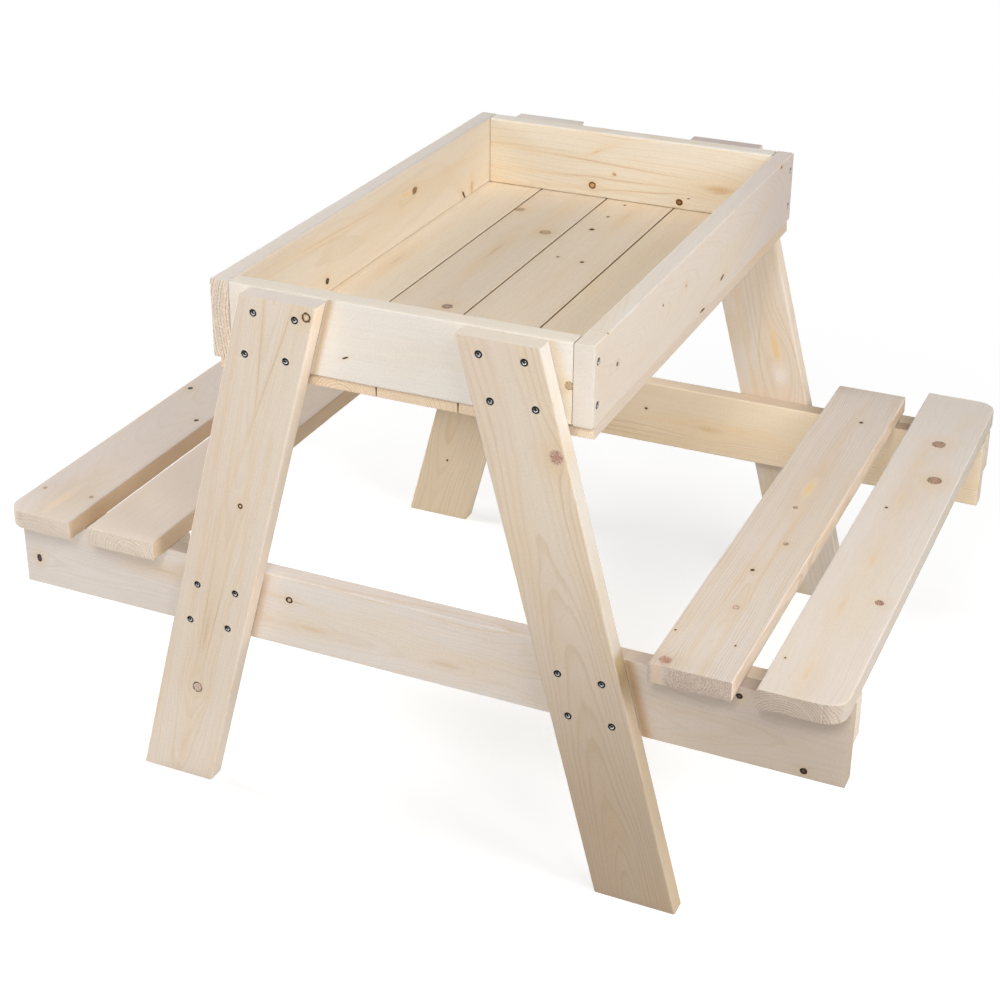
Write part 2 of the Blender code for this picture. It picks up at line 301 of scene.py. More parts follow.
KNOT_KINDS = {
    "pink": kind((0.6, 0.39, 0.3), (0.36, 0.19, 0.13), (0.5, 0.28, 0.2), rim_width=0.04, cracks=0.9,
        soft=0.35),
    "burl": kind((0.5, 0.335, 0.235), (0.22, 0.125, 0.075), (0.45, 0.29, 0.195), rim_width=0.1,
        cracks=1.0, soft=0.15),
    "brown": kind((0.5, 0.36, 0.27), (0.22, 0.135, 0.09), (0.48, 0.34, 0.25), rim_width=0.1,
        cracks=0.8, soft=0.15),
    "tan": kind((0.64, 0.48, 0.31), (0.36, 0.22, 0.12), (0.58, 0.43, 0.27), rim_width=0.08,
        cracks=0.7, soft=0.15, stretch=1.0),
    "orange": kind((0.58, 0.29, 0.085), (0.11, 0.04, 0.012), (0.78, 0.52, 0.26), rim_width=0.24,
        cracks=0.4),
    "ember": kind((0.34, 0.15, 0.045), (0.06, 0.026, 0.01), (0.42, 0.19, 0.055), rim_width=0.34,
        cracks=0.6),
    "black": kind((0.05, 0.028, 0.018), (0.014, 0.009, 0.006), (0.16, 0.095, 0.055), rim_width=0.34,
        cracks=0.6),
    "ring": kind((0.74, 0.56, 0.37), (0.13, 0.055, 0.014), (0.82, 0.66, 0.48), rim_width=0.32,
        cracks=0.1),
    "eye": kind((0.46, 0.27, 0.13), (0.035, 0.015, 0.007), (0.78, 0.62, 0.46), rim_width=0.42,
        cracks=0.2),
    "outline": kind((0.74, 0.55, 0.45), (0.035, 0.017, 0.012), (0.66, 0.46, 0.37), rim_width=0.13,
        cracks=0.12),
    "pin": kind((0.09, 0.054, 0.036), (0.15, 0.09, 0.055), (0.045, 0.028, 0.02), stretch=1.25,
        depth=2.0),
    "slash": kind((0.085, 0.048, 0.026), (0.13, 0.075, 0.04), (0.04, 0.022, 0.014), stretch=3.2,
        depth=3.0, cracks=0.5),
    "oval": kind((0.3, 0.17, 0.08), (0.16, 0.08, 0.03), (0.28, 0.15, 0.07), stretch=1.9, depth=2.0,
        cracks=0.5, soft=0.3),
    "upright": kind((0.085, 0.04, 0.042), (0.03, 0.015, 0.015), (0.13, 0.07, 0.07), stretch=0.6,
        rim_width=0.3, soft=0.2),
    "crack": streak((0.3, 0.17, 0.09), 22.0, 0.7, 3.0),
    "grain": streak((0.66, 0.46, 0.27), 100.0, 0.8),
    "amber": streak((0.8, 0.58, 0.31), 5.0, 1.0),
    "flame": streak((0.74, 0.55, 0.34), 10.0, 0.9),
    "patch": streak((0.78, 0.6, 0.42), 6.0, 0.9),
    "pith": streak((0.88, 0.8, 0.76), 2.0, 0.8),
    # A painted shadow, not a mark in the wood: the dark patch on the front rail beside the right
    # leg.
    "painted_shadow": streak((0.22, 0.14, 0.07), 0.3, 0.85),
    "smear": streak((0.74, 0.56, 0.4), 0.35, 0.9),
    "resin": kind((0.64, 0.4, 0.14), (0.52, 0.32, 0.11), (0.66, 0.42, 0.15), stretch=0.35,
        strength=0.9, soft=0.2),
}
print("Knot group ready, kinds:", ", ".join(KNOT_KINDS))

# %% [markdown]
# Growth rings are cylinders round the tree's heart, and a board is a slice out of them. So the
# rings are worked out in three dimensions: the distance from a heart line that passes beside the
# board, divided by the ring width. A flat-sawn face then shows arches, an edge shows straight
# lines and a sawn end shows arcs, and they all meet at the corners as in real timber.


# %% The growth rings
WAVER_SCALE = 110.0
WAVER_RINGS = 1.6
DECADE_SCALE = 0.30


def make_ring_group():
    """ring number = distance from the heart line / ring width, plus slow wander.

    The heart line leans and bows: its place across and deep is heart + lean u + bow u squared.
    Line: the number's fraction rises slowly through the pale early wood to the dark late wood,
    then drops. Band: a slower noise of the same number, for a few darker years together. Both
    are worn away in places by a noise of the position.
    """
    takes = {"vector": "Board, Heart, Lean, Bow, Seed",
             "number": "Push, Ring width, Wander, Ripple"}
    tree, g, taken, given = new_group("growth_rings", takes, {"number": "Line, Band"})
    along, _, _ = g.axes(taken["Board"])
    place = g.vector("ADD", taken["Board"], taken["Seed"])
    swings = []
    for cells, detail, amount in (((7.0, 14.0, 14.0), 1.0, "Wander"),
                                  ((30.0, 85.0, 85.0), 2.0, "Ripple")):
        swing = g.vector("SUBTRACT", g.noise(place, cells, detail, 1), (0.5, 0.5, 0.5))
        swings.append(g.vector("SCALE", swing, taken[amount]))
    heart = g.vector("ADD", taken["Heart"], g.vector("SCALE", taken["Lean"], along))
    heart = g.vector("ADD", heart, g.vector("SCALE", taken["Bow"], g.math("POWER", along, 2.0)))
    _, across, deep = g.axes(g.vector("ADD", g.vector("SUBTRACT", taken["Board"], heart),
                                      g.vector("ADD", *swings)))
    radius = g.plus(g.vector("LENGTH", g.join(0.0, across, deep)), taken["Push"])
    uneven = g.wavering(g.times(radius, WAVER_SCALE), 1.0)
    ring = g.plus(g.over(radius, taken["Ring width"]), g.times(uneven, WAVER_RINGS))
    part = g.math("FRACT", ring)
    year = g.node("ShaderNodeTexWhiteNoise", {"W": g.math("FLOOR", ring)},
                  noise_dimensions="1D").outputs[0]
    line = g.times(g.smooth(part, 0.45, 0.88), g.smooth(part, 0.90, 1.0, 1.0, 0.0))
    worn = g.noise(place, (14.0, 70.0, 70.0))
    strength = g.times(g.line(year, 0.75, 0.25), g.smooth(worn, 0.25, 0.60, 0.55, 1.0))
    decades = g.wavering(g.times(ring, DECADE_SCALE), 2.0)
    g.fill(given, {"Line": g.times(line, strength),
                   "Band": g.times(g.smooth(decades, 0.52, 0.66), g.smooth(worn, 0.36, 0.58))})
    return tree


RINGS = make_ring_group()
print("Ring group ready")

# %% [markdown]
# The finish turns rings and knots into a planed or sawn surface. Planed pine is cream with tan
# lines, drifts to yellow and to pink over a hand's breadth, and has fibres finer than a hair.
# A sawn end soaks up light: it is darker and pinker, and speckled with cut fibre bundles.


# %% The planed faces and the sawn ends
YELLOWER = (1.0, 0.94, 0.80)
PINKER = (0.97, 0.92, 0.88)
WARMER = (0.97, 0.86, 0.68)
BANDED = (0.96, 0.84, 0.64)
SPECKED = (0.56, 0.50, 0.46)
FRAYED = (1.22, 1.26, 1.30)
ARCHED = (0.72, 0.62, 0.52)
LINE_HEIGHT = 0.00004
FUZZ_HEIGHT = 0.00006
TORN_HEIGHT = 0.0004


def make_finish_group():
    """colour = early wood, drifting by noise, darkened by rings and fibres, covered by knots.

    The height is in metres, so that the bump is as deep as it says.
    """
    takes = {"vector": "Board, Seed", "colour": "Paint, Early, Late, End",
             "number": "Line, Band, Cover, Warmth, Sawn, Lines, Bands, Drift, Speckle, End rings"}
    tree, g, taken, given = new_group("pine_finish", takes,
                                      {"colour": "Colour", "number": "Roughness, Height"})
    place = g.vector("ADD", taken["Board"], taken["Seed"])
    yellow = g.smooth(g.noise(place, (5.0, 22.0, 22.0), 3.0), 0.50, 0.72)
    pink = g.smooth(g.noise(g.vector("ADD", place, (3.1, 1.7, 0.4)), (3.0, 16.0, 16.0)), 0.48, 0.70)
    wood = taken["Early"]
    for strength, amount, shade in ((yellow, taken["Drift"], YELLOWER),
                                    (pink, taken["Drift"], PINKER),
                                    (taken["Warmth"], 0.6, WARMER),
                                    (taken["Band"], taken["Bands"], BANDED)):
        wood = g.shaded(wood, g.times(strength, amount), shade)
    wood = g.mix(g.times(taken["Line"], taken["Lines"]), wood, taken["Late"])
    streak = g.noise(place, (16.0, 300.0, 300.0))
    fibre = g.noise(place, (90.0, 2300.0, 2300.0), 1.0)
    fuzz = g.noise(place, (420.0, 1300.0, 1300.0), 1.0)
    bundle = g.noise(place, (300.0, 1150.0, 1150.0))
    shade = g.plus(g.line(streak, 0.08, 0.96), g.line(fibre, 0.12, -0.06))
    shade = g.plus(shade, g.line(fuzz, 0.22, -0.11))
    grain = g.join(shade, shade, shade)
    wood = g.mix(1.0, wood, grain, "MULTIPLY")
    gathered = g.line(g.line(taken["Line"], 2.2, -0.8), taken["End rings"], 1.0, clamp=True)
    speck = g.times(g.times(g.smooth(bundle, 0.54, 0.42), taken["Speckle"]), gathered)
    fray = g.times(g.smooth(bundle, 0.56, 0.66), taken["Speckle"])
    arcs = g.larger(taken["Line"], g.times(taken["Band"], 0.4))
    sawn = g.shaded(g.shaded(taken["End"], speck, SPECKED), fray, FRAYED)
    sawn = g.shaded(sawn, g.times(arcs, taken["End rings"]), ARCHED)
    wood = g.mix(taken["Sawn"], wood, sawn)
    wood = g.mix(taken["Cover"], wood, g.mix(1.0, taken["Paint"], grain, "MULTIPLY"))
    rough = g.plus(g.line(streak, 0.16, 0.52), g.times(taken["Sawn"], 0.25))
    rough = g.math("SUBTRACT", rough, g.times(taken["Cover"], 0.04), clamp=True)
    planed = g.plus(g.times(taken["Line"], LINE_HEIGHT), g.times(fuzz, FUZZ_HEIGHT))
    torn = g.times(bundle, TORN_HEIGHT)
    height = g.node("ShaderNodeMix", {0: taken["Sawn"], 2: planed, 3: torn}).outputs[0]
    g.fill(given, {"Colour": wood, "Roughness": rough, "Height": height})
    return tree


FINISH = make_finish_group()
print("Finish group ready")

# %% [markdown]
# Every board has its own place in its own tree, so every board has its own material. The
# Mapping node moves the object's coordinates into the board: its middle becomes the origin, and
# its length, width and thickness become the three axes. The sawn ends are found from the
# surface's direction: they are what faces along the board.

# %% Pine for one board
EARLY = (0.80, 0.715, 0.615)
LATE = (0.66, 0.52, 0.35)
END = (0.74, 0.65, 0.55)
# JOINT_SHADE is the colour of painted shade in joints and along a narrow face's back edge.
JOINT_SHADE = (0.14, 0.085, 0.045)
WHITE = (1.0, 1.0, 1.0)
PINE_SHINE = 0.2
JOINT_TOP = 0.0008
# The SEAM numbers size the painted shade along a narrow face's back edge.
SEAM_FADE = 0.004
SEAM_START = 0.0030
SEAM_END = 0.0004
SEAM_DARKNESS = 0.8
# STRIP_START is where the painted shadow beside a leg begins.
STRIP_START = 0.003


def tinted(colour, tint):
    return opaque(tuple(a * b for a, b in zip(colour, tint)))


def pine(name, middle, axes, face, heart, lean=(0.0, 0.0), bow=(0.0, 0.0), ring=0.0026,
         wander=0.010, ripple=0.0016, knots=(), tint=WHITE, end_tint=WHITE, lines=0.2, lined=(),
         bands=0.4, drift=0.5, aged=(), flank=WHITE, flank_aged=(), speckle=0.4, end_rings=0.5,
         calm=0.0, joint=0.0, painted_seam_shade=(), beside=(), seed=0.0):
    """A pine material for a board whose length, width and thickness run along the rows of axes.

    heart, lean, bow and ring place the tree's rings. knots sit on the face that lies `face` from
    the board's middle: (along, across, radius, kind) and, for a slanting streak, its tilt.
    lined: (from, to, amount) adds that much line strength across the board. aged:
    (from, to, colour) is painted light and shade along the board, and flank is
    painted light and shade on the narrow faces, where calm takes the lines away and
    flank_aged is more of the same. beside: (place, lean, reach, shade) is
    a painted shadow on a strip of that same face that starts at a leg's edge and leans with it.
    joint is painted shade on the top edge of a sawn end, in its joint, and painted_seam_shade:
    (from, to) is painted shade on the narrow faces' back edge under another board.
    """
    made, g, shader = new_material(name)
    coordinates = g.node("ShaderNodeTexCoord").outputs
    turn = Matrix(axes).transposed().to_euler()
    board = g.node("ShaderNodeMapping", {"Vector": coordinates["Object"], "Location": middle,
                                         "Rotation": turn}, vector_type="TEXTURE").outputs[0]
    facing = [g.math("ABSOLUTE", g.vector("DOT_PRODUCT", coordinates["Normal"], tuple(axis)))
              for axis in axes[:2]]
    sawn = g.smooth(facing[0], 0.45, 0.85)
    sideways = g.smooth(facing[1], 0.5, 0.9)
    state = {"Board": board, "Push": 0.0, "Cover": 0.0, "Paint": opaque(EARLY), "Warmth": 0.0}
    for along, across, radius, name_of_kind, *tilt in knots:
        state = dict(g.group(KNOT, {**state, **KNOT_KINDS[name_of_kind], "Radius": radius,
                                    "Middle": (along, across, face),
                                    "Tilt": tilt[0] if tilt else 0.0}).items())
    offset = (seed * 1.37, seed * 0.71, seed * 0.53)
    rings = g.group(RINGS, {"Board": state["Board"], "Push": state["Push"], "Heart": (0.0, *heart),
                            "Lean": (0.0, *lean), "Bow": (0.0, *bow), "Ring width": ring,
                            "Wander": wander, "Ripple": ripple, "Seed": offset})
    u, v, w = g.axes(board)
    for start, end, amount in lined:
        lines = g.plus(g.smooth(v, start, end, 0.0, amount), lines)
    if calm:
        lines = g.times(g.line(sideways, -calm, 1.0), lines)
    surface = g.group(FINISH, {"Board": board, "Line": rings["Line"], "Band": rings["Band"],
                               "Cover": state["Cover"], "Paint": state["Paint"],
                               "Warmth": state["Warmth"], "Sawn": sawn,
                               "Early": tinted(EARLY, tint), "Late": tinted(LATE, tint),
                               "End": tinted(END, end_tint), "Lines": lines, "Bands": bands,
                               "Drift": drift, "Speckle": speckle, "End rings": end_rings,
                               "Seed": offset})
    # Painted light and shade on the narrow faces: their tint stands for bounced light and shade.
    colour = g.shaded(surface["Colour"], sideways, flank)
    # Painted light and shade along the board: lighter or darker towards one end.
    for start, end, shade in aged:
        colour = g.shaded(colour, g.smooth(u, start, end), shade)
    # More painted light and shade, on the narrow faces only.
    for start, end, shade in flank_aged:
        colour = g.shaded(colour, g.times(g.smooth(u, start, end), sideways), shade)
    # A painted shadow on the face, beside a leg's edge.
    for place, lean_there, reach, shade in beside:
        past = g.minus(u, g.times(v, lean_there))
        strip = g.times(g.smooth(past, place, place + reach, 1.0, 0.0),
                        g.smooth(past, place - STRIP_START, place))
        strip = g.times(strip, g.minus(1.0, sideways))
        colour = g.shaded(colour, g.times(strip, g.smooth(w, 0.0, face)), shade)
    # Painted shade on the top edge of a sawn end, in its joint.
    if joint:
        top = g.smooth(w, face - 2 * JOINT_TOP, face - JOINT_TOP, 0.0, joint)
        colour = g.mix(g.times(top, sawn), colour, opaque(JOINT_SHADE))
    # Painted shade on a narrow face's back edge, where it lies under another board.
    for start, end in painted_seam_shade:
        touching = g.times(g.smooth(u, start, start + SEAM_FADE), g.smooth(u, end, end - SEAM_FADE))
        under = g.smooth(w, SEAM_START - face, SEAM_END - face, 0.0, SEAM_DARKNESS)
        under = g.times(under, touching)
        colour = g.mix(g.times(under, sideways), colour, opaque(JOINT_SHADE))
    bump = g.node("ShaderNodeBump", {"Height": surface["Height"], "Distance": 1.0})
    g.fill(shader.inputs, {"Base Color": colour, "Roughness": surface["Roughness"],
                           "Specular IOR Level": PINE_SHINE, "Normal": bump.outputs[0]})
    return made


print("Pine is ready to be sawn")

# %% [markdown]
# A board is one profile carried along its length. The profile is a rectangle with round edges,
# written as a smaller rectangle, the core, plus the edge radius times the outward direction. So
# the radius can vary along the board, as it does on real planed timber, while the faces stay flat.


# %% The profile of a board
EDGE_STEPS = 6
FACE_CELLS = 14
EDGE_CELLS = 4


def board_profile():
    """Once round the board: core position (-1 to 1, twice) and outward direction, as four rows.

    Four quarter circles of directions sit on the core's corners, with straight runs between them.
    """
    corners = ((1, 1), (-1, 1), (-1, -1), (1, -1))
    pieces = []
    for number, (side, face) in enumerate(corners):
        angle = np.linspace(0.0, pi / 2, EDGE_STEPS + 1) + number * pi / 2
        pieces.append(np.array([np.full(angle.size, side), np.full(angle.size, face),
                                np.cos(angle), np.sin(angle)]))
        following = corners[(number + 1) % 4]
        cells = FACE_CELLS if number % 2 == 0 else EDGE_CELLS
        share = np.arange(1, cells) / cells
        pieces.append(np.array([side + (following[0] - side) * share,
                                face + (following[1] - face) * share,
                                np.full(share.size, np.cos(angle[-1])),
                                np.full(share.size, np.sin(angle[-1]))]))
    return np.concatenate(pieces, axis=1)


PROFILE = board_profile()
print("The profile has", PROFILE.shape[1], "points")

# %% [markdown]
# The stations along the board lie a centimetre apart, and crowd together at the ends, where the
# saw leaves a hair-fine rounding. The outer seat boards also have two round corners: there the
# outline draws in by a quarter circle. A leg's stations are slid along it in proportion to the
# distance across, because its ends are sawn level and not square.


# %% The surface of a board
STATION_SPACING = 0.010
END_ROUNDING = 0.0006
EDGE_ROUNDING = 0.0016
EDGE_UNEVEN = 0.22
EDGE_WAVES = (0.21, 0.073, 0.031)
TIP_STEPS = 5
CORNER_STEPS = 17
CORNER_FADE = 0.002


def waves(values, seed, lengths):
    """A sum of sines with seeded phases, between -1 and 1: wavelengths in metres."""
    phases = np.random.default_rng(seed).uniform(0.0, 2 * pi, len(lengths))
    return sum(np.sin(2 * pi * values / length + phase)
               for length, phase in zip(lengths, phases)) / len(lengths)


def stations(length, corner):
    """Places along the board and how far each end draws in there, on the round side and all round.

    Near an end: place = end - R (1 - sin a), drawn in by R (1 - cos a), for a quarter circle.
    """
    half = length / 2
    a = np.linspace(0.0, pi / 2, TIP_STEPS)
    tip = half - END_ROUNDING * (1 - np.sin(a))
    tip_in = END_ROUNDING * (1 - np.cos(a))
    b = np.linspace(0.0, pi / 2, CORNER_STEPS)[:-1] if corner else np.zeros(0)
    turn = half - END_ROUNDING - corner * (1 - np.sin(b))
    reach = half - END_ROUNDING - corner
    count = int(reach * 2 / STATION_SPACING)
    middle = np.linspace(-reach, reach, count)[1:-1]
    end = np.concatenate([turn, tip])
    end_all = np.concatenate([np.zeros(turn.size), tip_in])
    end_side = np.concatenate([corner * (1 - np.cos(b)), np.full(tip.size, corner)])
    place = np.concatenate([-end[::-1], middle, end])
    all_round = np.concatenate([end_all[::-1], np.zeros(middle.size), end_all])
    round_side = np.concatenate([end_side[::-1], np.zeros(middle.size), end_side])
    return place, round_side, all_round


def board_points(length, width, thick, edge, seed, slide=0.0, corner=0.0, corner_side=0,
                 taper=0.0):
    """Grid of (along, across, deep) points, one row a station: core + radius x direction.

    taper is how much narrower the top face is than the bottom face, on each side.
    """
    place, round_side, all_round = stations(length, corner)
    uneven = 1 + EDGE_UNEVEN * np.stack([waves(place, seed + k, EDGE_WAVES) for k in range(4)])
    which = (PROFILE[0] < 0) * 1 + (PROFILE[1] < 0) * 2
    radius = edge * uneven[which].T
    fade = np.clip(round_side / CORNER_FADE, 0.0, 1.0)[:, None] * (PROFILE[0] * corner_side > 0)
    radius = radius * (1 - fade) + 2 * END_ROUNDING * fade
    half_plus = width / 2 - round_side * (corner_side > 0)
    half_minus = width / 2 - round_side * (corner_side < 0)
    core_plus = half_plus[:, None] - radius
    core_minus = half_minus[:, None] - radius
    across = (1 + PROFILE[0]) / 2 * core_plus - (1 - PROFILE[0]) / 2 * core_minus
    deep = PROFILE[1] * (thick / 2 - radius)
    across = across + (radius - all_round[:, None]) * PROFILE[2]
    deep = deep + (radius - all_round[:, None]) * PROFILE[3]
    across = across * (1 - taper / (width / 2) * (deep / thick + 0.5))
    along = place[:, None] + slide * across
    return np.stack([along, across, deep], axis=-1)


def tube_faces(rows, columns):
    """Quads between the rows of a closed tube, and one face over each of its two ends."""
    index = np.arange(rows * columns).reshape(rows, columns)
    following = np.roll(index, -1, axis=1)
    quads = np.stack([index[:-1], index[1:], following[1:], following[:-1]], axis=-1)
    return quads.reshape(-1, 4).tolist() + [index[0].tolist(), index[-1][::-1].tolist()]


print("Board surface ready, a station every", STATION_SPACING * 1000, "mm")

# %% [markdown]
# The table's screws sit in drilled and countersunk holes. A hole is a turned shape too, and it is
# taken out of the board with an exact Boolean. All the cutters of one screw length in one board
# are joined first, so each board is cut once for each length of screw it holds.

# %% Turned shapes and drilling
HOLE_SIDES = 40


def turned_points(profile, axis_z, sides):
    """Grid of points: each (radius, depth) of the profile swept round the axis; depth runs down."""
    angle = np.arange(sides) / sides * 2 * pi
    radius, depth = np.array(profile).T
    flat = np.stack([radius[:, None] * np.cos(angle), radius[:, None] * np.sin(angle),
                     -depth[:, None] + np.zeros(sides)], axis=-1)
    turn = np.array(Vector(axis_z).to_track_quat("Z", "Y").to_matrix())
    return flat @ turn.T


def add_mesh(name, points, faces):
    mesh = bpy.data.meshes.new(name)
    mesh.from_pydata(points.reshape(-1, 3).tolist(), [], faces)
    made = bpy.data.objects.new(name, mesh)
    bpy.context.scene.collection.objects.link(made)
    return made


def make_outward(piece):
    """Turn every face outwards, by the sign of the enclosed volume."""
    mesh = piece.data
    mesh.calc_loop_triangles()
    corners = np.empty(len(mesh.loop_triangles) * 3, dtype=np.int32)
    mesh.loop_triangles.foreach_get("vertices", corners)
    places = np.empty(len(mesh.vertices) * 3)
    mesh.vertices.foreach_get("co", places)
    a, b, c = places.reshape(-1, 3)[corners.reshape(-1, 3)].transpose(1, 0, 2)
    if np.einsum("ij,ij->i", a, np.cross(b, c)).sum() < 0:
        mesh.flip_normals()


def drill(piece, holes, profile):
    """Cut the same turned profile at each (point, outward direction) out of the piece."""
    points = []
    faces = []
    for place, outward in holes:
        grid = turned_points(profile, outward, HOLE_SIDES) + np.array(place)
        start = sum(len(block) for block in points)
        faces += [[corner + start for corner in face] for face in tube_faces(*grid.shape[:2])]
        points.append(grid.reshape(-1, 3))
    cutter = add_mesh(piece.name + "_drill", np.concatenate(points), faces)
    make_outward(cutter)
    cut = piece.modifiers.new("Drill", "BOOLEAN")
    cut.operation = "DIFFERENCE"
    cut.solver = "EXACT"
    cut.object = cutter
    seen = piece.evaluated_get(bpy.context.evaluated_depsgraph_get())
    drilled = bpy.data.meshes.new_from_object(seen)
    piece.modifiers.remove(cut)
    piece.data = drilled
    bpy.data.objects.remove(cutter, do_unlink=True)


print("Drilling ready")

# %% [markdown]
# The screws' places come from the frame. Each screw node's box gives its axis and its head, so
# the holes sit exactly where the model's screws are. The leg's lean also comes from there: the
# screws at the sandbox and at the rail follow the leg's centre line.

# %% Screw places from the frame
HEAD_RADIUS = 0.0036
HEAD_HEIGHT = 0.0024
HEAD_LAND = 0.0003
SHANK_RADIUS = 0.0018
HOLE_GAP = 0.0004
SCREW_LENGTH = 0.035
OVERRUN = 0.002
FLOOR_SCREW_LENGTH = 0.025
SEAT_SCREW_LENGTH = 0.060


def countersunk(length):
    """The turned shape that a screw of this length needs: head, cone and a hole for the thread."""
    return ((HEAD_RADIUS + HOLE_GAP, -OVERRUN), (HEAD_RADIUS + HOLE_GAP, HEAD_LAND),
            (SHANK_RADIUS + HOLE_GAP, HEAD_HEIGHT + HOLE_GAP),
            (SHANK_RADIUS + HOLE_GAP, length + HOLE_GAP))


def node_middle(node):
    low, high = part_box(node)
    return (Vector(low) + Vector(high)) / 2


def screw_head(node):
    """The middle of a screw node's head, on the side that looks away from the table."""
    low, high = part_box(node)
    middle = node_middle(node)
    facing = -1.0 if middle.y < 0 else 1.0
    return Vector((middle.x, low[1] if facing < 0 else high[1], middle.z)), Vector((0, facing, 0))


LEG_SCREWS = {name: screw_head(name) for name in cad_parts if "_screw_" in name}


def leg_lean(leg):
    """Sideways travel of a leg's centre line for each metre upwards."""
    top = LEG_SCREWS[leg + "_box_screw_1"][0]
    low = LEG_SCREWS[leg + "_rail_screw_1"][0]
    return (top.x - low.x) / (top.z - low.z)


print(len(LEG_SCREWS), "leg screws, first leg leans", round(leg_lean("leg_front_left"), 4))

# %% [markdown]
# Now one function makes a whole board: it reads the node's box, works out the fine surface along
# the board's own axes, drills it, gives it its pine and lets it stand for the CAD node.

# %% Making a board
X = Vector((1, 0, 0))
Y = Vector((0, 1, 0))
Z = Vector((0, 0, 1))
BOARD_CREASE = radians(32)
made_boards = []


def make_board(node, along, across, slot, edge=EDGE_ROUNDING, holes=(), deep_holes=(),
               short_holes=(), corner=0.0, corner_side=0, level_ends=False, taper=0.0, **wood):
    """The finer twin of a CAD board; along and across are its directions in the table."""
    low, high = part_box(node)
    size = Vector(high) - Vector(low)
    middle = node_middle(node)
    deep = along.cross(across)
    slide = 0.0
    if level_ends:
        slide = -across.z / along.z
        length = size.z / along.z
        width = (size.x - abs(along.x / along.z) * size.z) * along.z
    else:
        length = abs(size.dot(along))
        width = abs(size.dot(across))
    thick = abs(size.dot(deep))
    seed = len(made_boards) + 1
    grid = board_points(length, width, thick, edge, seed * 10, slide, corner, corner_side, taper)
    axes = np.array([along, across, deep])
    piece = add_mesh(node + "_board", grid @ axes + np.array(middle), tube_faces(*grid.shape[:2]))
    make_outward(piece)
    for places, depth in ((holes, SCREW_LENGTH), (deep_holes, SEAT_SCREW_LENGTH),
                          (short_holes, FLOOR_SCREW_LENGTH)):
        if places:
            drill(piece, places, countersunk(depth))
    piece.data.shade_smooth()
    piece.data.set_sharp_from_angle(angle=BOARD_CREASE)
    piece.data.materials.append(pine(node + "_pine", middle, axes.tolist(), thick / 2,
                                     seed=float(seed), **wood))
    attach(piece, BODY)
    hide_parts(node)
    made_boards.append(node)
    print(node, "is", [round(value * 1000, 1) for value in (length, width, thick)], "mm,",
          len(piece.data.polygons), "faces")


def holes_of(words):
    """The holes of all leg screws whose name holds each of these words."""
    return [hole for name, hole in LEG_SCREWS.items() if all(word in name for word in words)]


# %% [markdown]
# Some screws can't be seen from the front, and the frame has no nodes for them. Short ones come
# up through the floor into the sandbox's ends, long ones go up through the cleats into the seats,
# and each cleat is screwed to its rail from its back face.

# %% Places of the hidden screws
FLOOR_SCREW_SPREAD = 0.022
SEAT_SCREW_SPREAD = 0.020
HEAD_SINK = 0.0003


def cleat_name(facing, side):
    return "cleat_" + facing + "_" + side


def floor_screws(number):
    """Two screws up through each end of a floor board, and one where the board is narrow."""
    low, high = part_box("floor_board_" + str(number))
    middle = node_middle("floor_board_" + str(number)).x
    narrow = high[0] - low[0] < 3 * FLOOR_SCREW_SPREAD
    spread = (0.0,) if narrow else (-FLOOR_SCREW_SPREAD, FLOOR_SCREW_SPREAD)
    return [(Vector((middle + step, node_middle(end).y, low[2] + HEAD_SINK)), -Z)
            for end in ("box_end_front", "box_end_back") for step in spread]


def seat_screws(facing, side):
    """Two screws up through a cleat into each of its two seat boards, inner board first."""
    cleat = cleat_name(facing, side)
    low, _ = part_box(cleat)
    return [(Vector((node_middle("seat_" + side + "_" + board).x + step, node_middle(cleat).y,
                     low[2] + HEAD_SINK)), -Z)
            for board in ("inner", "outer") for step in (-SEAT_SCREW_SPREAD, SEAT_SCREW_SPREAD)]


def seat_screws_of(side, board):
    """The screws under one seat board: 0 is the inner board and 1 the outer one."""
    return [place for facing in ("front", "back")
            for place in seat_screws(facing, side)[2 * board:2 * board + 2]]


def cleat_face_screws(facing, *sides):
    """Two screws from each cleat's back face into the rail, one under each seat board."""
    places = []
    for side in sides or ("left", "right"):
        _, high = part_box(cleat_name(facing, side))
        height = node_middle(cleat_name(facing, side)).z
        places += [(Vector((node_middle("seat_" + side + "_" + board).x, high[1] - HEAD_SINK,
                            height)), Y) for board in ("inner", "outer")]
    return places


FLOOR_SCREWS = {number: floor_screws(number) for number in range(1, 6)}


def end_floor_screws(facing):
    """All the floor's screws that go into one sandbox end."""
    end = node_middle("box_end_" + facing).y
    return [place for places in FLOOR_SCREWS.values() for place in places
            if abs(place[0].y - end) < SEAT_SCREW_SPREAD]


print(sum(len(places) for places in FLOOR_SCREWS.values()), "screws under the floor")

# %% [markdown]
# The sandbox sides run the full length, and two screws through each of their ends hold the short
# boards between them. Their screws aren't in the frame, so their places are given here, measured
# from the board's end and from the rim.

# %% The sandbox sides
CORNER_SCREW_INSET = 0.0095
CORNER_SCREW_DROPS = (0.0180, 0.0600)
SINK = 0.0002
BOX_EDGE = 0.0022


def corner_screws(node, facing):
    low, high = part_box(node)
    outer = (low[0] if facing < 0 else high[0]) - facing * SINK
    return [(Vector((outer, end, high[2] - drop)), facing * X)
            for end in (low[1] + CORNER_SCREW_INSET, high[1] - CORNER_SCREW_INSET)
            for drop in CORNER_SCREW_DROPS]


SIDE_SCREWS = {"box_side_left": corner_screws("box_side_left", -1),
               "box_side_right": corner_screws("box_side_right", 1)}
